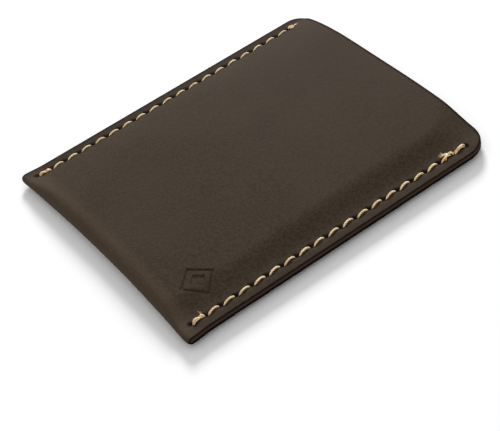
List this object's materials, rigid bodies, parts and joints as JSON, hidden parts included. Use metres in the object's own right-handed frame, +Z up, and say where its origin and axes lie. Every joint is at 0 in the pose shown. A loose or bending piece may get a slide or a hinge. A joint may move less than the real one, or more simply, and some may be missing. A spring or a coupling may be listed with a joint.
{
  "type": "minimalist wallet",
  "caption": "Slim card sleeve of one folded piece of leather, lock-stitched along both long sides and open at one short end.",
  "frame": {"origin": "on the surface the wallet lies on, under the middle of its outline", "axes": "+X from the fold to the open mouth, +Y across the wallet, +Z up out of the front face"},
  "size_m": [0.0913, 0.0794, 0.0062],
  "materials": {
    "leather": "matte, waxed dark brown, burnished edges",
    "thread": "waxed twisted thread, tan"
  },
  "bodies": {
    "root": {"leather_body": "leather", "near_seam_needle_thread": "thread", "near_seam_bobbin_thread": "thread", "far_seam_needle_thread": "thread", "far_seam_bobbin_thread": "thread"}
  },
  "joints": []
}
